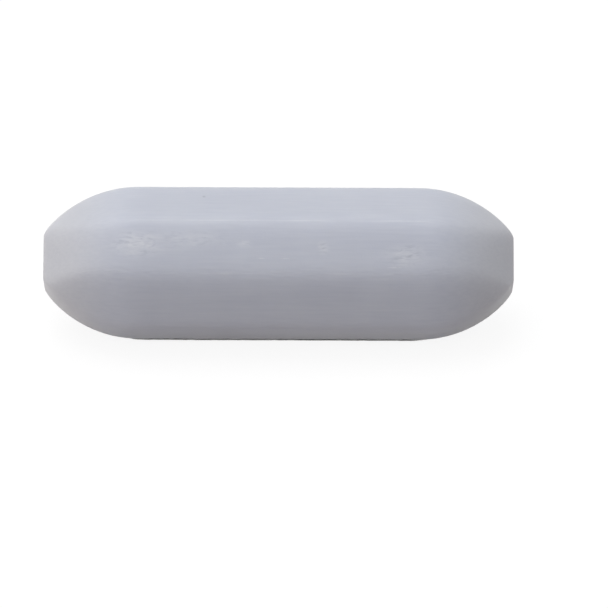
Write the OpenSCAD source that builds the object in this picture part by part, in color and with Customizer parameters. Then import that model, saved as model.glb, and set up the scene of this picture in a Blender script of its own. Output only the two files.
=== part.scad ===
// Magnetic stir bar: an octagonal PTFE jacket that curves in to a small square at each end,
// moulded shut around a magnet rod. The bar lies along X and rests on one flat at Z = 0.
// Four of its faces are upright, square to Y and Z, and four are diagonal. At the ends the
// diagonal faces run on to the small square, and the upright ones run out to points.

/* [Bar] */
// Overall length, from end face to end face
bar_length = 22.2; // [18:0.1:40]
// Width across two opposite flats
across_flats = 6.85; // [5:0.05:9]
// Rounding of the eight long edges
edge_radius = 0.8; // [0.3:0.05:1.4]

/* [Ends] */
// Width of the small square face at each end
end_width = 2.2; // [1.2:0.1:3.2]
// Length over which the diagonal faces curve in, at each end
diagonal_run = 4.35; // [3.6:0.05:6]
// Length over which the upright faces curve in, at each end
upright_run = 4.8; // [3.6:0.05:6]
// Height above the axis at which the curve of an upright face would meet the end plane
upright_reach = 1.8; // [1.4:0.05:2.4]
// How far the rim of the end face is broken back
rim_break = 0.1; // [0.05:0.01:0.2]
// Slope of the broken rim, measured from the axis
rim_angle = 72; // [66:1:78]

/* [Magnet] */
// PTFE left over the magnet at each flat
side_wall = 1.2; // [0.8:0.05:1.6]
// PTFE left over the magnet at each end
end_wall = 3.1; // [2.4:0.1:5]
// Chamfer on both rims of the magnet rod
rod_chamfer = 0.3; // [0.1:0.05:0.6]
// Gap between the magnet and the jacket around it
rod_clearance = 0.05; // [0.02:0.01:0.15]

/* [Hidden] */
$fn = 96;
half_length = bar_length / 2;
half_flats = across_flats / 2;
// How far outside the flats the end curves start, so that each leaves its flat at a faint line
curve_lead = 0.02;
// Width of the side outlines where they are well clear of the bar
clear_width = 2 * across_flats;
rod_radius = half_flats - side_wall - rod_clearance;
rod_length = bar_length - 2 * (end_wall + rod_clearance);

// Octagon across the bar, with rounded corners
module section() {
    inner = half_flats - edge_radius;
    for (turn = [0 : 45 : 135])
        rotate(turn)
            square([across_flats, 2 * inner * tan(22.5)], center = true);
    for (turn = [22.5 : 45 : 360])
        rotate(turn)
            translate([inner / cos(22.5), 0])
                circle(edge_radius);
}

// Side outline of two opposite faces: clear of the flats along the bar, then an arc at each end
module face_outline(run, reach) {
    top = half_flats + curve_lead;
    start = half_length - run;
    drop = top - reach;
    arc = (run * run + drop * drop) / (2 * drop);
    square([2 * start, clear_width], center = true);
    for (side = [0, 1])
        mirror([side, 0])
            translate([start, 0])
                intersection() {
                    translate([0, -top])
                        square([run, 2 * top]);
                    translate([0, top - arc])
                        circle(arc);
                    translate([0, arc - top])
                        circle(arc);
                }
}

// Side outline that breaks the rims between two opposite diagonal faces and the end faces
module rim_outline() {
    low = end_width / 2 - rim_break;
    high = clear_width / 2;
    back = half_length - (high - low) / tan(rim_angle);
    for (side = [0, 1])
        mirror([side, 0])
            polygon([
                [0, -high],
                [back, -high],
                [half_length, -low],
                [half_length, low],
                [back, high],
                [0, high],
            ]);
}

// Carries a side outline right across the bar, turned about its axis
module across(turn) {
    rotate([turn + 90, 0, 0])
        linear_extrude(clear_width, center = true)
            children();
}

// Outer form of the bar about its own axis
module bar_form() {
    intersection() {
        rotate([90, 0, 90])
            linear_extrude(bar_length, center = true)
                section();
        intersection_for (turn = [45, 135])
            across(turn)
                intersection() {
                    face_outline(diagonal_run, end_width / 2);
                    rim_outline();
                }
        intersection_for (turn = [0, 90])
            across(turn)
                face_outline(upright_run, upright_reach);
    }
}

// Chamfered rod about the bar's axis, grown by a gap on every side
module rod_form(gap) {
    radius = rod_radius + gap;
    tip = rod_length / 2 + gap;
    shoulder = tip - rod_chamfer;
    rotate([0, 90, 0])
        rotate_extrude()
            polygon([
                [0, -tip],
                [radius - rod_chamfer, -tip],
                [radius, -shoulder],
                [radius, shoulder],
                [radius - rod_chamfer, tip],
                [0, tip],
            ]);
}

// PTFE jacket: one closed moulding with a sealed hollow for the magnet
module jacket() {
    color("#c6cad3")
        translate([0, 0, half_flats])
            difference() {
                bar_form();
                rod_form(rod_clearance);
            }
}

// Cast magnet rod, sealed in the middle of the jacket
module magnet_rod() {
    color("#6b6d70")
        translate([0, 0, half_flats])
            rod_form(0);
}

jacket();
magnet_rod();
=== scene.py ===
"""A magnetic stir bar: a white octagonal PTFE bar with a magnet rod sealed inside, lying on a table."""
import math

import bpy
from mathutils import Matrix, Vector


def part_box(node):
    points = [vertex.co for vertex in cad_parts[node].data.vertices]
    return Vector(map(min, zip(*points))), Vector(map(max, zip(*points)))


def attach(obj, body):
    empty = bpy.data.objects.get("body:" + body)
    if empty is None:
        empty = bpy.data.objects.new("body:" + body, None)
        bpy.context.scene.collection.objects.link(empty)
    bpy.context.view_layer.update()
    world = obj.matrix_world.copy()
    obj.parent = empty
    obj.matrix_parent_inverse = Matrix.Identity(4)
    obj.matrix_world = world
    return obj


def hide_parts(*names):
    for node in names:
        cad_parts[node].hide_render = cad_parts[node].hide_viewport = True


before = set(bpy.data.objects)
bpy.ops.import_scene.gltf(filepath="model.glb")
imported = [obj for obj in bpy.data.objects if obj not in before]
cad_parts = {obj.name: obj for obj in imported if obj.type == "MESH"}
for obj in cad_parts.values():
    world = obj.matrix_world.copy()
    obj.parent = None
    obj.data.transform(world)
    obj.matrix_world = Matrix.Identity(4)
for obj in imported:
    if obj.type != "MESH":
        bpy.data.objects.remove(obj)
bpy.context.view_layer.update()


# The magnet rod
# A bar of cast aluminium-nickel-cobalt alloy, ground round and chamfered at both rims, then magnetised
# through its length. It is sealed in the jacket and never shows, so the solid of the frame stays.

MM = 0.001


def add_node(tree, kind, inputs=None, **settings):
    """Adds a node with its settings, and fills its inputs with values, sockets or nodes' live outputs."""
    made = tree.nodes.new(kind)
    for name, value in settings.items():
        setattr(made, name, value)
    for key, value in (inputs or {}).items():
        for part in value if isinstance(value, list) else [value]:
            if isinstance(part, bpy.types.Node):
                part = next(out for out in part.outputs if out.enabled)
            if isinstance(part, bpy.types.NodeSocket):
                tree.links.new(part, made.inputs[key])
            else:
                made.inputs[key].default_value = part
    return made


def to_linear(hex_colour):
    """Turns an sRGB hex colour into linear RGBA."""
    parts = [int(hex_colour[i:i + 2], 16) / 255 for i in (1, 3, 5)]
    return (*[c / 12.92 if c <= 0.04045 else ((c + 0.055) / 1.055) ** 2.4 for c in parts], 1.0)


# Ground cast alloy: a grey metal, a little patchy from the casting, with rings left round it by the
# grinding wheel. The rings are drawn coarser than real ones, so that they show.
PATCH_SIZE = 1.0 * MM
RING_PITCH = 0.25 * MM
# Scale of the pattern across the rod, which draws it out into rings
RING_DRAW = 0.05
DARK_ALLOY = to_linear("#7b7c7e")
LIGHT_ALLOY = to_linear("#8f9092")
alloy = bpy.data.materials.new("ground_cast_magnet_alloy")
alloy.use_nodes = True
tree = alloy.node_tree
shader = tree.nodes["Principled BSDF"]
place = add_node(tree, "ShaderNodeTexCoord").outputs["Object"]
patches = add_node(tree, "ShaderNodeTexNoise", {"Vector": place, "Scale": 1 / PATCH_SIZE, "Detail": 4.0})
patchy = add_node(tree, "ShaderNodeMix", {
    "Factor": patches, "A": DARK_ALLOY, "B": LIGHT_ALLOY,
}, data_type="RGBA")
tree.links.new(patchy.outputs["Result"], shader.inputs["Base Color"])
round_rod = add_node(tree, "ShaderNodeMapping", {"Vector": place, "Scale": (1.0, RING_DRAW, RING_DRAW)})
rings = add_node(tree, "ShaderNodeTexNoise", {"Vector": round_rod, "Scale": 1 / RING_PITCH, "Detail": 2.0})
ground = add_node(tree, "ShaderNodeMapRange", {"Value": rings, "To Min": 0.35, "To Max": 0.5})
tree.links.new(ground.outputs["Result"], shader.inputs["Roughness"])
shader.inputs["Metallic"].default_value = 1.0
magnet_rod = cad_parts["magnet_rod"]
magnet_rod.data.materials.clear()
magnet_rod.data.materials.append(alloy)


# The jacket
# One closed moulding of white PTFE, pressed and sintered around the magnet. Eight long flats with soft
# edges; at each end the diagonal faces curve in to a small square, and the upright ones run out to points.

bar_low, bar_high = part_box("jacket")
LENGTH = bar_high.x - bar_low.x
ACROSS_FLATS = bar_high.z - bar_low.z
# The diagonal faces stand a little further apart than the upright ones
ACROSS_DIAGONALS = 1.025 * ACROSS_FLATS
END_WIDTH = 2.2 * MM
DIAGONAL_RUN = 4.35 * MM
UPRIGHT_RUN = 4.8 * MM
UPRIGHT_REACH = 1.8 * MM
RIM_RADIUS = 0.3 * MM


def arc_radius(across, run, reach):
    """Radius of the arc that leaves a flat smoothly and drops to reach above the axis over the run."""
    drop = across / 2 - reach
    return (run ** 2 + drop ** 2) / (2 * drop)


DIAGONAL_ARC = arc_radius(ACROSS_DIAGONALS, DIAGONAL_RUN, END_WIDTH / 2)
UPRIGHT_ARC = arc_radius(ACROSS_FLATS, UPRIGHT_RUN, UPRIGHT_REACH)
# The rim rounding touches the diagonal arc and the end plane: how far its centre lies from the start of
# the arc and from the axis, and how far along the arc it takes over.
RIM_ALONG = DIAGONAL_RUN - RIM_RADIUS
RIM_DROP = DIAGONAL_ARC - math.sqrt((DIAGONAL_ARC - RIM_RADIUS) ** 2 - RIM_ALONG ** 2)
RIM_OUT = ACROSS_DIAGONALS / 2 - RIM_DROP
RIM_JOIN = RIM_ALONG * DIAGONAL_ARC / (DIAGONAL_ARC - RIM_RADIUS)

# The hollow follows the magnet rod all round, with a little air.
rod_low, rod_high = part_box("magnet_rod")
ROD_GAP = 0.05 * MM
SIZES = {
    "Length": LENGTH,
    "Upright width": ACROSS_FLATS,
    "Upright run": UPRIGHT_RUN,
    "Upright arc": UPRIGHT_ARC,
    "Diagonal width": ACROSS_DIAGONALS,
    "Diagonal run": DIAGONAL_RUN,
    "Diagonal arc": DIAGONAL_ARC,
    "Rim radius": RIM_RADIUS,
    "Rim along": RIM_ALONG,
    "Rim out": RIM_OUT,
    "Rim join": RIM_JOIN,
    # About 8.4 times an edge's distance from the axis over its rounding, which is 0.9 mm along the bar
    "Edge crispness": 36.0,
    "End crispness": 21.0,
    # The edges at the two sides are softer, and keep this share of the crispness
    "Side edge share": 0.75,
    # The faces swell a little: the share of a round form mixed into the flat one
    "Bulge": 0.22,
    "Waviness": 0.012 * MM,
    "Wave length": 5.0 * MM,
    "Hollow radius": (rod_high.z - rod_low.z) / 2 + ROD_GAP,
    "Hollow length": rod_high.x - rod_low.x + 2 * ROD_GAP,
    "Hollow chamfer": 0.3 * MM,
}
shape = bpy.data.node_groups.new("octagonal_bar", "GeometryNodeTree")
shape.interface.new_socket("Geometry", in_out="OUTPUT", socket_type="NodeSocketGeometry")
identifiers = {}
for name in SIZES:
    socket = shape.interface.new_socket(name, in_out="INPUT", socket_type="NodeSocketFloat")
    identifiers[name] = socket.identifier
size = add_node(shape, "NodeGroupInput").outputs

# A drum along Z gives rings and caps; its rings crowd towards the ends, where the form turns fastest.
AROUND = 256
ALONG = 200
CAP_RINGS = 8
drum = add_node(shape, "GeometryNodeMeshCylinder", {
    "Vertices": AROUND, "Side Segments": ALONG, "Fill Segments": CAP_RINGS,
    "Radius": 1.0, "Depth": math.pi,
}, fill_type="TRIANGLE_FAN")
drum_place = add_node(shape, "GeometryNodeInputPosition")
spot = add_node(shape, "ShaderNodeSeparateXYZ", {"Vector": drum_place}).outputs
flat_spot = add_node(shape, "ShaderNodeCombineXYZ", {"X": spot["X"], "Y": spot["Y"]})
cap_share = add_node(shape, "ShaderNodeVectorMath", {0: flat_spot}, operation="LENGTH")
half_length = add_node(shape, "ShaderNodeMath", {0: size["Length"], 1: 0.5}, operation="MULTIPLY")
half_flats = add_node(shape, "ShaderNodeMath", {0: size["Upright width"], 1: 0.5}, operation="MULTIPLY")
swing = add_node(shape, "ShaderNodeMath", {0: spot["Z"]}, operation="SINE")
station = add_node(shape, "ShaderNodeMath", {0: half_length, 1: swing}, operation="MULTIPLY")
from_middle = add_node(shape, "ShaderNodeMath", {0: station}, operation="ABSOLUTE")

# Distance of a pair of faces from the axis at each ring: the flat, then its arc.
depth = {}
past = {}
for kind in ("Upright", "Diagonal"):
    width = size[kind + " width"]
    run = size[kind + " run"]
    arc = size[kind + " arc"]
    start = add_node(shape, "ShaderNodeMath", {0: half_length, 1: run}, operation="SUBTRACT")
    over = add_node(shape, "ShaderNodeMath", {0: from_middle, 1: start}, operation="SUBTRACT")
    past[kind] = add_node(shape, "ShaderNodeMath", {0: over, 1: 0.0}, operation="MAXIMUM")
    arc_square = add_node(shape, "ShaderNodeMath", {0: arc, 1: arc}, operation="MULTIPLY")
    past_square = add_node(shape, "ShaderNodeMath", {0: past[kind], 1: past[kind]}, operation="MULTIPLY")
    rest = add_node(shape, "ShaderNodeMath", {0: arc_square, 1: past_square}, operation="SUBTRACT")
    rise = add_node(shape, "ShaderNodeMath", {0: rest}, operation="SQRT")
    half_width = add_node(shape, "ShaderNodeMath", {0: width, 1: 0.5}, operation="MULTIPLY")
    middle = add_node(shape, "ShaderNodeMath", {0: half_width, 1: arc}, operation="SUBTRACT")
    depth[kind] = add_node(shape, "ShaderNodeMath", {0: middle, 1: rise}, operation="ADD")

# The last stretch of a diagonal face is the small rounding of the rim.
rim_over = add_node(shape, "ShaderNodeMath", {
    0: past["Diagonal"], 1: size["Rim along"],
}, operation="SUBTRACT")
rim_square = add_node(shape, "ShaderNodeMath", {0: rim_over, 1: rim_over}, operation="MULTIPLY")
rim_full = add_node(shape, "ShaderNodeMath", {0: size["Rim radius"], 1: 2.0}, operation="POWER")
rim_rest = add_node(shape, "ShaderNodeMath", {0: rim_full, 1: rim_square}, operation="SUBTRACT")
rim_floor = add_node(shape, "ShaderNodeMath", {0: rim_rest, 1: 0.0}, operation="MAXIMUM")
rim_rise = add_node(shape, "ShaderNodeMath", {0: rim_floor}, operation="SQRT")
rim_depth = add_node(shape, "ShaderNodeMath", {0: size["Rim out"], 1: rim_rise}, operation="ADD")
on_rim = add_node(shape, "ShaderNodeMath", {
    0: past["Diagonal"], 1: size["Rim join"],
}, operation="GREATER_THAN")
depth["Diagonal"] = add_node(shape, "ShaderNodeMix", {
    "Factor": on_rim, "A": depth["Diagonal"], "B": rim_depth,
})

# Shares of a full turn: between two upright faces, between an upright face and a diagonal one, and from
# the middle of a face to its edge along the bar.
QUARTER = math.pi / 2
EIGHTH = math.pi / 4
SIXTEENTH = math.pi / 8

# Where round the ring the edge between an upright and a diagonal face lies, from the upright direction.
# It keeps a little room where the upright faces have run out, so that the mesh lines stay apart.
LEAST_EDGE_TURN = math.radians(5)
diagonal_cut = add_node(shape, "ShaderNodeMath", {
    0: depth["Diagonal"], 1: math.sqrt(2),
}, operation="MULTIPLY")
edge_height = add_node(shape, "ShaderNodeMath", {
    0: diagonal_cut, 1: depth["Upright"],
}, operation="SUBTRACT")
edge_found = add_node(shape, "ShaderNodeMath", {0: edge_height, 1: depth["Upright"]}, operation="ARCTAN2")
edge_turn = add_node(shape, "ShaderNodeMath", {0: edge_found, 1: LEAST_EDGE_TURN}, operation="MAXIMUM")
edge_facing = add_node(shape, "ShaderNodeMath", {0: edge_turn}, operation="COSINE")
edge_reach = add_node(shape, "ShaderNodeMath", {0: depth["Upright"], 1: edge_facing}, operation="DIVIDE")

# Each vertex is turned so that lines of the mesh run along the edges and crowd on both sides of them.
EDGE_CROWDING = 1.8
turn = add_node(shape, "ShaderNodeMath", {0: spot["Y"], 1: spot["X"]}, operation="ARCTAN2")
near_turn = add_node(shape, "ShaderNodeMath", {0: turn, 1: EIGHTH}, operation="ADD")
upright_turn = add_node(shape, "ShaderNodeMath", {0: near_turn, 1: QUARTER}, operation="SNAP")
aside = add_node(shape, "ShaderNodeMath", {0: turn, 1: upright_turn}, operation="SUBTRACT")
side = add_node(shape, "ShaderNodeMath", {0: aside}, operation="SIGN")
steps = add_node(shape, "ShaderNodeMath", {0: aside}, operation="ABSOLUTE")
from_edge = add_node(shape, "ShaderNodeMath", {
    0: steps, 1: 1 / SIXTEENTH, 2: -1.0,
}, operation="MULTIPLY_ADD")
edge_side = add_node(shape, "ShaderNodeMath", {0: from_edge}, operation="SIGN")
edge_steps = add_node(shape, "ShaderNodeMath", {0: from_edge}, operation="ABSOLUTE")
crowded = add_node(shape, "ShaderNodeMath", {0: edge_steps, 1: EDGE_CROWDING}, operation="POWER")
on_diagonal = add_node(shape, "ShaderNodeMath", {0: from_edge, 1: 0.0}, operation="GREATER_THAN")
diagonal_span = add_node(shape, "ShaderNodeMath", {0: EIGHTH, 1: edge_turn}, operation="SUBTRACT")
span = add_node(shape, "ShaderNodeMix", {"Factor": on_diagonal, "A": edge_turn, "B": diagonal_span})
moved = add_node(shape, "ShaderNodeMath", {0: crowded, 1: edge_side}, operation="MULTIPLY")
lean = add_node(shape, "ShaderNodeMath", {0: moved, 1: span, 2: edge_turn}, operation="MULTIPLY_ADD")
new_turn = add_node(shape, "ShaderNodeMath", {0: lean, 1: side, 2: upright_turn}, operation="MULTIPLY_ADD")

# How far each vertex lies from its nearest long edge, for the rubbed line with its painted highlight on
# the edges
turn_gap = add_node(shape, "ShaderNodeMath", {0: crowded, 1: span}, operation="MULTIPLY")
edge_gap = add_node(shape, "ShaderNodeMath", {0: turn_gap, 1: half_flats}, operation="MULTIPLY")
marked_drum = add_node(shape, "GeometryNodeStoreNamedAttribute", {
    "Geometry": drum, "Name": "edge_gap", "Value": edge_gap,
})

# The edges are worn a little unevenly. Those at the sides, below the first of two sines of the turn, are
# softer than those above and below, past the second, and all of them soften along the end curves.
WEAR_LENGTH = 1.5 * MM
WEAR_RANGE = 0.3
SIDE_SINE = 0.45
UPPER_SINE = 0.85
SOFTENING_START = 0.1
wear = add_node(shape, "ShaderNodeTexNoise", {"Scale": 1 / WEAR_LENGTH, "Detail": 1.0})
worn = add_node(shape, "ShaderNodeMapRange", {
    "Value": wear, "To Min": 1 - WEAR_RANGE, "To Max": 1 + WEAR_RANGE,
})
rising_turn = add_node(shape, "ShaderNodeMath", {0: new_turn}, operation="SINE")
off_level = add_node(shape, "ShaderNodeMath", {0: rising_turn}, operation="ABSOLUTE")
side_wear = add_node(shape, "ShaderNodeMapRange", {
    "Value": off_level, "From Min": SIDE_SINE, "From Max": UPPER_SINE, "To Min": size["Side edge share"],
}, interpolation_type="SMOOTHSTEP")
side_worn = add_node(shape, "ShaderNodeMath", {0: worn, 1: side_wear}, operation="MULTIPLY")
body_crispness = add_node(shape, "ShaderNodeMath", {
    0: size["Edge crispness"], 1: side_worn,
}, operation="MULTIPLY")
softening_start = add_node(shape, "ShaderNodeMath", {
    0: size["Diagonal run"], 1: SOFTENING_START,
}, operation="MULTIPLY")
crispness = add_node(shape, "ShaderNodeMapRange", {
    "Value": past["Diagonal"], "From Min": softening_start, "From Max": size["Diagonal run"],
    "To Min": body_crispness, "To Max": size["End crispness"],
}, interpolation_type="SMOOTHSTEP")

# The swelling draws each edge in, by a share of what a round form would, and fades where the upright
# faces run out.
ROUND_DRAW = 1 - math.cos(SIXTEENTH)
edge_share = add_node(shape, "ShaderNodeMath", {0: edge_turn, 1: 1 / SIXTEENTH}, operation="MULTIPLY")
edge_fade = add_node(shape, "ShaderNodeMath", {0: edge_share, 1: 2.0}, operation="POWER")
edge_draw = add_node(shape, "ShaderNodeMath", {0: size["Bulge"], 1: ROUND_DRAW}, operation="MULTIPLY")
drawn_in = add_node(shape, "ShaderNodeMath", {0: edge_draw, 1: edge_fade}, operation="MULTIPLY")

# Reach of the nearest upright face and of the diagonal faces to either side, blended by a high power.
near_tilt = add_node(shape, "ShaderNodeMath", {0: EIGHTH, 1: lean}, operation="SUBTRACT")
far_tilt = add_node(shape, "ShaderNodeMath", {0: EIGHTH, 1: lean}, operation="ADD")
FACES = (
    ("Upright", lean, edge_turn),
    ("Diagonal", near_tilt, diagonal_span),
    ("Diagonal", far_tilt, diagonal_span),
)
total = 0.0
for kind, tilt, edge_tilt in FACES:
    facing = add_node(shape, "ShaderNodeMath", {0: tilt}, operation="COSINE")
    flat_reach = add_node(shape, "ShaderNodeMath", {0: depth[kind], 1: facing}, operation="DIVIDE")
    face_share = add_node(shape, "ShaderNodeMath", {0: tilt, 1: edge_tilt}, operation="DIVIDE")
    roundness = add_node(shape, "ShaderNodeMath", {0: face_share, 1: 2.0}, operation="POWER")
    shrink = add_node(shape, "ShaderNodeMath", {0: roundness, 1: drawn_in}, operation="MULTIPLY")
    kept = add_node(shape, "ShaderNodeMath", {0: 1.0, 1: shrink}, operation="SUBTRACT")
    swollen = add_node(shape, "ShaderNodeMath", {0: flat_reach, 1: kept}, operation="MULTIPLY")
    # Scaled by the ring's reach at its edges, so that the power stays in a sound range of numbers
    nearness = add_node(shape, "ShaderNodeMath", {0: edge_reach, 1: swollen}, operation="DIVIDE")
    power = add_node(shape, "ShaderNodeMath", {0: nearness, 1: crispness}, operation="POWER")
    total = add_node(shape, "ShaderNodeMath", {0: power, 1: total}, operation="ADD")
root = add_node(shape, "ShaderNodeMath", {0: -1.0, 1: crispness}, operation="DIVIDE")
reach_share = add_node(shape, "ShaderNodeMath", {0: total, 1: root}, operation="POWER")
reach = add_node(shape, "ShaderNodeMath", {0: reach_share, 1: edge_reach}, operation="MULTIPLY")
ring = add_node(shape, "ShaderNodeMath", {0: reach, 1: cap_share}, operation="MULTIPLY")
level_turn = add_node(shape, "ShaderNodeMath", {0: new_turn}, operation="COSINE")
across = add_node(shape, "ShaderNodeMath", {0: ring, 1: level_turn}, operation="MULTIPLY")
lifted = add_node(shape, "ShaderNodeMath", {
    0: ring, 1: rising_turn, 2: half_flats,
}, operation="MULTIPLY_ADD")
bar_spot = add_node(shape, "ShaderNodeCombineXYZ", {"X": station, "Y": across, "Z": lifted})
bar = add_node(shape, "GeometryNodeSetPosition", {"Geometry": marked_drum, "Position": bar_spot})

# A moulded surface is never quite flat: it sinks in by about a hundredth of a millimetre in long waves.
wave_scale = add_node(shape, "ShaderNodeMath", {0: 1.0, 1: size["Wave length"]}, operation="DIVIDE")
wave = add_node(shape, "ShaderNodeTexNoise", {"Scale": wave_scale, "Detail": 1.0})
dip = add_node(shape, "ShaderNodeMath", {0: wave, 1: size["Waviness"]}, operation="MULTIPLY")
inward = add_node(shape, "ShaderNodeMath", {0: dip, 1: -1.0}, operation="MULTIPLY")
outward = add_node(shape, "GeometryNodeInputNormal")
sink = add_node(shape, "ShaderNodeVectorMath", {0: outward, "Scale": inward}, operation="SCALE")
waved = add_node(shape, "GeometryNodeSetPosition", {"Geometry": bar, "Offset": sink})
smooth = add_node(shape, "GeometryNodeSetShadeSmooth", {"Geometry": waved})

# The sealed hollow: a second drum, faced inwards, whose four rings are the two shoulders and the two tips.
HOLLOW_AROUND = 96
hollow_drum = add_node(shape, "GeometryNodeMeshCylinder", {
    "Vertices": HOLLOW_AROUND, "Side Segments": 3, "Radius": 1.0, "Depth": 2.0,
}, fill_type="TRIANGLE_FAN")
hollow_half = add_node(shape, "ShaderNodeMath", {0: size["Hollow length"], 1: 0.5}, operation="MULTIPLY")
shoulder = add_node(shape, "ShaderNodeMath", {
    0: hollow_half, 1: size["Hollow chamfer"],
}, operation="SUBTRACT")
narrow = add_node(shape, "ShaderNodeMath", {
    0: size["Hollow radius"], 1: size["Hollow chamfer"],
}, operation="SUBTRACT")
ring_height = add_node(shape, "ShaderNodeMath", {0: spot["Z"]}, operation="ABSOLUTE")
at_tip = add_node(shape, "ShaderNodeMath", {0: ring_height, 1: 0.5}, operation="GREATER_THAN")
hollow_end = add_node(shape, "ShaderNodeMath", {0: spot["Z"]}, operation="SIGN")
ring_place = add_node(shape, "ShaderNodeMix", {"Factor": at_tip, "A": shoulder, "B": hollow_half})
hollow_station = add_node(shape, "ShaderNodeMath", {0: ring_place, 1: hollow_end}, operation="MULTIPLY")
hollow_ring = add_node(shape, "ShaderNodeMix", {"Factor": at_tip, "A": size["Hollow radius"], "B": narrow})
hollow_across = add_node(shape, "ShaderNodeMath", {0: spot["X"], 1: hollow_ring}, operation="MULTIPLY")
hollow_lift = add_node(shape, "ShaderNodeMath", {
    0: spot["Y"], 1: hollow_ring, 2: half_flats,
}, operation="MULTIPLY_ADD")
hollow_spot = add_node(shape, "ShaderNodeCombineXYZ", {
    "X": hollow_station, "Y": hollow_across, "Z": hollow_lift,
})
hollow = add_node(shape, "GeometryNodeSetPosition", {"Geometry": hollow_drum, "Position": hollow_spot})
inside_out = add_node(shape, "GeometryNodeFlipFaces", {"Mesh": hollow})
moulding = add_node(shape, "GeometryNodeJoinGeometry", {"Geometry": [smooth, inside_out]})

# Moulded PTFE: a dense, waxy, slightly see-through white. Light spreads under its skin and softens the
# edges; the skin is satin, faintly mottled, and drawn out in fine streaks along the bar. It is bluish
# over the magnet and more neutral at the solid ends, and use has rubbed its long edges and scuffed it.
# A painted highlight lies along the upper edges, and a painted sheen near the right end.
ptfe = bpy.data.materials.new("moulded_ptfe")
ptfe.use_nodes = True
tree = ptfe.node_tree
shader = tree.nodes["Principled BSDF"]
place = add_node(tree, "ShaderNodeTexCoord").outputs["Object"]
way = add_node(tree, "ShaderNodeSeparateXYZ", {"Vector": place}).outputs
off_middle = add_node(tree, "ShaderNodeMath", {0: way["X"]}, operation="ABSOLUTE")

# Two bluish whites in a mottle over the magnet, and a neutral white at the ends. The change starts and is
# over a little before the end of the magnet and the end of the bar.
MOTTLE_SIZE = 2.5 * MM
BLUISH_WHITE = to_linear("#c3c7d4")
PALE_BLUISH_WHITE = to_linear("#ccd0db")
NEUTRAL_WHITE = to_linear("#c6c8cf")
END_LEAD = 0.8 * MM
mottle = add_node(tree, "ShaderNodeTexNoise", {"Vector": place, "Scale": 1 / MOTTLE_SIZE, "Detail": 3.0})
mottled = add_node(tree, "ShaderNodeMix", {
    "Factor": mottle, "A": BLUISH_WHITE, "B": PALE_BLUISH_WHITE,
}, data_type="RGBA")
at_end = add_node(tree, "ShaderNodeMapRange", {
    "Value": off_middle,
    "From Min": SIZES["Hollow length"] / 2 - END_LEAD,
    "From Max": LENGTH / 2 - END_LEAD,
}, interpolation_type="SMOOTHSTEP")
toned = add_node(tree, "ShaderNodeMix", {
    "Factor": at_end, "A": mottled, "B": NEUTRAL_WHITE,
}, data_type="RGBA")

# Fine streaks, drawn out by the small scale of their pattern along the bar
STREAK_WIDTH = 0.12 * MM
STREAK_DRAW = 0.06
STREAK_STRENGTH = 0.08
drawn = add_node(tree, "ShaderNodeMapping", {"Vector": place, "Scale": (STREAK_DRAW, 1.0, 1.0)})
streak = add_node(tree, "ShaderNodeTexNoise", {"Vector": drawn, "Scale": 1 / STREAK_WIDTH, "Detail": 2.0})
streaked = add_node(tree, "ShaderNodeMix", {
    "Factor": STREAK_STRENGTH, "A": toned, "B": streak,
}, data_type="RGBA", blend_type="OVERLAY")

# Rubbed edges with a painted highlight: a thin lighter line along the straight stretch, broken in places,
# partly wear and partly painted highlight, painted strongest on the upper edges, where the light from
# above falls. It fades out over the first part of the end curves.
RUB_HIGHLIGHT_WIDTH = 0.07 * MM
RUB_HIGHLIGHT_LENGTH = 2.0 * MM
RUB_HIGHLIGHT_STRENGTH = 0.6
BROKEN_BELOW = 0.42
RUB_HIGHLIGHT_ABOVE = 0.62
STRAIGHT_END = LENGTH / 2 - UPRIGHT_RUN
RUB_HIGHLIGHT_FADE = 0.3 * UPRIGHT_RUN
PAINTED_HIGHLIGHT_FLOOR = 0.3 * ACROSS_FLATS
gap_to_edge = add_node(tree, "ShaderNodeAttribute", attribute_name="edge_gap").outputs["Fac"]
on_edge = add_node(tree, "ShaderNodeMapRange", {
    "Value": gap_to_edge, "From Max": RUB_HIGHLIGHT_WIDTH, "To Min": 1.0, "To Max": 0.0,
}, interpolation_type="SMOOTHSTEP")
straight = add_node(tree, "ShaderNodeMapRange", {
    "Value": off_middle, "From Min": STRAIGHT_END, "From Max": STRAIGHT_END + RUB_HIGHLIGHT_FADE,
    "To Min": 1.0, "To Max": 0.0,
}, interpolation_type="SMOOTHSTEP")
line_breaks = add_node(tree, "ShaderNodeTexNoise", {"Vector": place, "Scale": 1 / RUB_HIGHLIGHT_LENGTH, "Detail": 4.0})
rub_highlight_kept = add_node(tree, "ShaderNodeMapRange", {
    "Value": line_breaks, "From Min": BROKEN_BELOW, "From Max": RUB_HIGHLIGHT_ABOVE, "To Max": RUB_HIGHLIGHT_STRENGTH,
})
# Painted highlight: the line is lighter the higher the edge lies, as where the light from above falls on
# it.
upper = add_node(tree, "ShaderNodeMapRange", {
    "Value": way["Z"], "From Min": PAINTED_HIGHLIGHT_FLOOR, "From Max": ACROSS_FLATS,
})
edge_line = add_node(tree, "ShaderNodeMath", {0: on_edge, 1: straight}, operation="MULTIPLY")
upper_rub_highlight = add_node(tree, "ShaderNodeMath", {0: edge_line, 1: upper}, operation="MULTIPLY")
rub_and_highlight = add_node(tree, "ShaderNodeMath", {0: upper_rub_highlight, 1: rub_highlight_kept}, operation="MULTIPLY")

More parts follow.
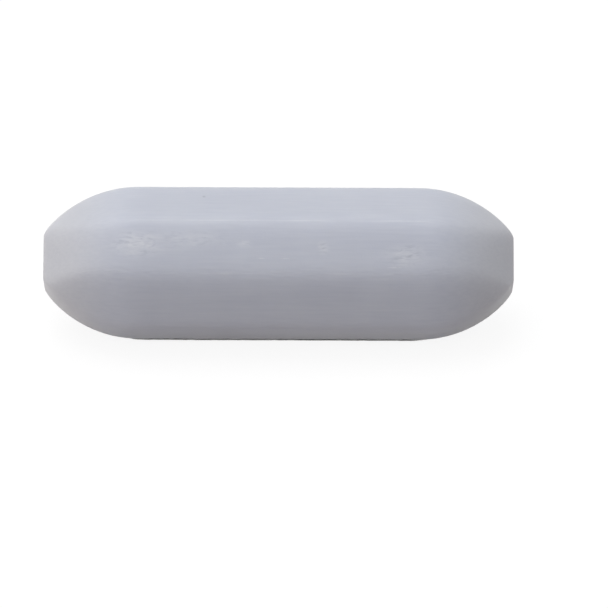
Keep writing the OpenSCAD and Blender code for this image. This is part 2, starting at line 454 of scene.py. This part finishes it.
# Scuffs on the upper diagonal faces and the far side: place and half sizes in millimetres, and strength.
# The half sizes run along the bar, up the slope of the near diagonal face, and up that of the far one.
# The two near the right end of the near diagonal face are partly a painted sheen, where the face begins
# to curve towards the end.
SCUFFS_AND_SHEEN = (
    ((-6.5, -2.35, 5.92), (1.9, 0.9, 0.6), 1.2),
    ((-4.2, -2.2, 6.1), (2.6, 0.6, 0.4), 0.6),
    ((-1.6, -2.39, 5.97), (0.5, 0.25, 0.3), 0.9),
    ((-0.8, -2.87, 5.49), (0.3, 0.05, 0.2), 1.0),
    ((2.1, -2.5, 5.86), (0.4, 0.5, 0.4), 0.9),
    ((6.0, -2.7, 5.57), (1.5, 0.8, 0.6), 0.9),
    ((5.5, -3.1, 5.15), (0.6, 0.05, 0.2), 1.4),
    ((0.45, -2.83, 5.44), (0.6, 0.05, 0.2), 1.2),
    ((4.6, 2.3, 6.0), (1.9, 0.5, 0.7), 1.0),
    ((-2.4, 2.6, 5.65), (1.5, 0.5, 0.5), 0.8),
    ((0.9, 2.95, 5.3), (0.6, 0.2, 0.05), 1.2),
    ((-6.0, 3.3, 4.1), (1.2, 0.5, 0.5), 0.8),
)
scuff_and_sheen = 0.0
for centre, half_size, strength in SCUFFS_AND_SHEEN:
    patch = add_node(tree, "ShaderNodeMapping", {
        "Vector": place, "Location": Vector(centre) * MM, "Rotation": (EIGHTH, 0.0, 0.0),
        "Scale": Vector(half_size) * MM,
    }, vector_type="TEXTURE")
    patch_reach = add_node(tree, "ShaderNodeVectorMath", {0: patch}, operation="LENGTH")
    patch_level = add_node(tree, "ShaderNodeMapRange", {
        "Value": patch_reach, "To Min": strength, "To Max": 0.0,
    }, interpolation_type="SMOOTHSTEP")
    scuff_and_sheen = add_node(tree, "ShaderNodeMath", {0: patch_level, 1: scuff_and_sheen}, operation="MAXIMUM")

# Short crooked scratches fill the scuffs and the painted sheen, with a faint haze between them.
SCRATCH_WIDTH = 0.14 * MM
SCRATCH_DRAW = 0.3
HAZE_BELOW = 0.42
SCRATCHED_ABOVE = 0.68
HAZE_STRENGTH = 0.25
skewed = add_node(tree, "ShaderNodeMapping", {"Vector": place, "Scale": (SCRATCH_DRAW, 1.0, 1.0)})
scratch = add_node(tree, "ShaderNodeTexNoise", {
    "Vector": skewed, "Scale": 1 / SCRATCH_WIDTH, "Detail": 3.0, "Distortion": 0.6,
})
scratched = add_node(tree, "ShaderNodeMapRange", {
    "Value": scratch, "From Min": HAZE_BELOW, "From Max": SCRATCHED_ABOVE, "To Min": HAZE_STRENGTH,
})
scuffed_and_sheen = add_node(tree, "ShaderNodeMath", {0: scuff_and_sheen, 1: scratched}, operation="MULTIPLY")

# Rubbed edges and scuffs are whiter than the skin, and so are the painted highlight and sheen on them.
WORN_AND_HIGHLIGHT_WHITE = to_linear("#e4e6ec")
MARK_AND_HIGHLIGHT_STRENGTH = 0.6
marks_and_highlights = add_node(tree, "ShaderNodeMath", {0: scuffed_and_sheen, 1: rub_and_highlight}, operation="MAXIMUM", use_clamp=True)
mark_and_highlight_share = add_node(tree, "ShaderNodeMath", {0: marks_and_highlights, 1: MARK_AND_HIGHLIGHT_STRENGTH}, operation="MULTIPLY")
marked_and_highlit = add_node(tree, "ShaderNodeMix", {
    "Factor": mark_and_highlight_share, "A": streaked, "B": WORN_AND_HIGHLIGHT_WHITE,
}, data_type="RGBA")

# Nicks among the scratches of a scuff, and one small pit in the top face, are darker.
DENT_GREY = to_linear("#8f95a4")
NICKED_BELOW = 0.3
UNHURT_ABOVE = 0.46
NICK_STRENGTH = 0.35
PIT = Vector((-3.52, 0.45, 6.85)) * MM
PIT_RADIUS = 0.13 * MM
PIT_STRENGTH = 0.45
nicked = add_node(tree, "ShaderNodeMapRange", {
    "Value": scratch, "From Min": NICKED_BELOW, "From Max": UNHURT_ABOVE,
    "To Min": NICK_STRENGTH, "To Max": 0.0,
})
nicks = add_node(tree, "ShaderNodeMath", {0: scuff_and_sheen, 1: nicked}, operation="MULTIPLY", use_clamp=True)
pit_gap = add_node(tree, "ShaderNodeVectorMath", {0: place, 1: PIT}, operation="DISTANCE")
pitted = add_node(tree, "ShaderNodeMapRange", {
    "Value": pit_gap, "From Max": PIT_RADIUS, "To Min": PIT_STRENGTH, "To Max": 0.0,
}, interpolation_type="SMOOTHSTEP")
dents = add_node(tree, "ShaderNodeMath", {0: nicks, 1: pitted}, operation="MAXIMUM")
dented = add_node(tree, "ShaderNodeMix", {
    "Factor": dents, "A": marked_and_highlit, "B": DENT_GREY,
}, data_type="RGBA")
tree.links.new(dented.outputs["Result"], shader.inputs["Base Color"])

# The satin skin: smoother and rougher in streaks, with a grain drawn as coarse as it needs to show
GRAIN_SIZE = 0.09 * MM
satin = add_node(tree, "ShaderNodeMapRange", {"Value": streak, "To Min": 0.38, "To Max": 0.56})
tree.links.new(satin.outputs["Result"], shader.inputs["Roughness"])
grain = add_node(tree, "ShaderNodeTexNoise", {"Vector": place, "Scale": 1 / GRAIN_SIZE, "Detail": 2.0})
fine = add_node(tree, "ShaderNodeMath", {0: grain, 1: streak}, operation="ADD")
bump = add_node(tree, "ShaderNodeBump", {"Height": fine, "Strength": 0.12, "Distance": 0.02 * MM})
tree.links.new(bump.outputs["Normal"], shader.inputs["Normal"])
shader.inputs["IOR"].default_value = 1.35
shader.inputs["Subsurface Weight"].default_value = 1.0
shader.inputs["Subsurface Radius"].default_value = (1.0, 1.0, 1.0)
shader.inputs["Subsurface Scale"].default_value = 2.2 * MM

# The moulding as a plain mesh, in place of the frame's solid
solid = add_node(shape, "GeometryNodeRealizeInstances", {"Geometry": moulding})
finished = add_node(shape, "GeometryNodeSetMaterial", {"Geometry": solid, "Material": ptfe})
add_node(shape, "NodeGroupOutput", {"Geometry": finished})
jacket = bpy.data.objects.new("jacket_skin", bpy.data.meshes.new("jacket_skin"))
bpy.context.collection.objects.link(jacket)
modifier = jacket.modifiers.new("octagonal_bar", "NODES")
modifier.node_group = shape
for name, value in SIZES.items():
    modifier[identifiers[name]] = value
evaluated = jacket.evaluated_get(bpy.context.evaluated_depsgraph_get())
made_mesh = bpy.data.meshes.new_from_object(evaluated)
jacket.modifiers.clear()
jacket.data = made_mesh
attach(jacket, "root")
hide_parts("jacket")


# The table
# A plain pale sheet that the bar lies on. It looks white, and still takes the bar's soft shadow, with a
# thin dark line in the gap where the bar touches it.

TABLE_SIZE = 1200 * MM
corner = TABLE_SIZE / 2
corners = [(-corner, -corner, 0), (corner, -corner, 0), (corner, corner, 0), (-corner, corner, 0)]
table_mesh = bpy.data.meshes.new("table")
table_mesh.from_pydata(corners, [], [(0, 1, 2, 3)])
table = bpy.data.objects.new("table", table_mesh)
bpy.context.collection.objects.link(table)


def seen_directly(tree):
    """Gives 1 where a thing is looked at, also by way of gloss or glass, and 0 where it lights others."""
    ray = add_node(tree, "ShaderNodeLightPath").outputs
    seen = ray["Is Camera Ray"]
    for kind in ("Is Glossy Ray", "Is Transmission Ray"):
        seen = add_node(tree, "ShaderNodeMath", {0: seen, 1: ray[kind]}, operation="MAXIMUM")
    return seen


# Pale matt paper: a warm grey in the light that it throws on the bar, lifted to white where it is looked
# at, except in the gap under the bar.
LIT_GREY = to_linear("#b3acaa")
SEEN_GREY = to_linear("#707070")
WHITE = (1.0, 1.0, 1.0, 1.0)
PAPER_GLOW = 0.885
GAP_SHADOW = 0.115 * MM
GAP_DARKEST = 0.68
paper = bpy.data.materials.new("pale_paper")
paper.use_nodes = True
tree = paper.node_tree
tree.nodes.remove(tree.nodes["Principled BSDF"])
looked_at = seen_directly(tree)
grey = add_node(tree, "ShaderNodeMix", {
    "Factor": looked_at, "A": LIT_GREY, "B": SEEN_GREY,
}, data_type="RGBA")
matt = add_node(tree, "ShaderNodeBsdfDiffuse", {"Color": grey})
open_sky = add_node(tree, "ShaderNodeAmbientOcclusion", {"Distance": GAP_SHADOW}, samples=16).outputs["AO"]
gap_light = add_node(tree, "ShaderNodeMapRange", {"Value": open_sky, "From Min": GAP_DARKEST})
glow_share = add_node(tree, "ShaderNodeMath", {0: looked_at, 1: gap_light}, operation="MULTIPLY")
glow_level = add_node(tree, "ShaderNodeMath", {0: glow_share, 1: PAPER_GLOW}, operation="MULTIPLY")
glow = add_node(tree, "ShaderNodeEmission", {"Color": WHITE, "Strength": glow_level})
both = add_node(tree, "ShaderNodeAddShader", {0: matt, 1: glow})
tree.links.new(both.outputs["Shader"], tree.nodes["Material Output"].inputs["Surface"])
table_mesh.materials.append(paper)


# The light
# A large soft box overhead, a second one low at the front left, a little warm, and an even pale room
# around them that looks white.

ROOM_LEVEL = 0.52
world = bpy.data.worlds.new("pale_room")
bpy.context.scene.world = world
world.use_nodes = True
tree = world.node_tree
room = tree.nodes["Background"]
level = add_node(tree, "ShaderNodeMapRange", {
    "Value": seen_directly(tree), "To Min": ROOM_LEVEL, "To Max": 1.0,
})
room.inputs["Color"].default_value = WHITE
tree.links.new(level.outputs["Result"], room.inputs["Strength"])

# Name, place and side in metres, power in watts, and colour
SOFT_BOXES = (
    ("overhead_soft_box", (-0.07, 0.065, 0.345), 0.3, 0.53, "#ffffff"),
    ("front_soft_box", (-0.36, -0.17, 0.06), 0.3, 0.615, "#fff9f2"),
)
for name, lamp_place, lamp_side, watts, colour in SOFT_BOXES:
    soft_box = bpy.data.objects.new(name, bpy.data.lights.new(name, "AREA"))
    bpy.context.collection.objects.link(soft_box)
    soft_box.data.size = lamp_side
    soft_box.data.energy = watts
    soft_box.data.color = to_linear(colour)[:3]
    soft_box.location = lamp_place
    soft_box.rotation_euler = Vector(lamp_place).to_track_quat("Z", "Y").to_euler()


# The camera
# A long lens, looking down on the near side of the bar, which lies left of and above the middle of the
# picture. Sizes in the picture are pixels: its side, the bar's scale, and where the bar's middle lies.

PICTURE = 608
SCALE = 21.13 / MM
BAR_PIXEL = Vector((278.6, 263.4))
ELEVATION = math.radians(32.3)
ROLL = math.radians(0.25)
DISTANCE = 300 * MM
camera = bpy.data.objects.new("camera", bpy.data.cameras.new("camera"))
bpy.context.collection.objects.link(camera)
bpy.context.scene.camera = camera
camera.data.sensor_width = 36.0
camera.data.lens = camera.data.sensor_width * DISTANCE / (PICTURE / SCALE)
camera.data.clip_start = 10 * MM
camera_turn = Matrix.Rotation(math.pi / 2 - ELEVATION, 3, "X") @ Matrix.Rotation(ROLL, 3, "Z")
bar_shift = (BAR_PIXEL - Vector((PICTURE / 2, PICTURE / 2))) / SCALE
bar_middle = (bar_low + bar_high) / 2
camera.location = bar_middle + camera_turn @ Vector((-bar_shift.x, bar_shift.y, DISTANCE))
camera.rotation_euler = camera_turn.to_euler()


# Finish
bpy.context.scene.view_settings.view_transform = "Standard"
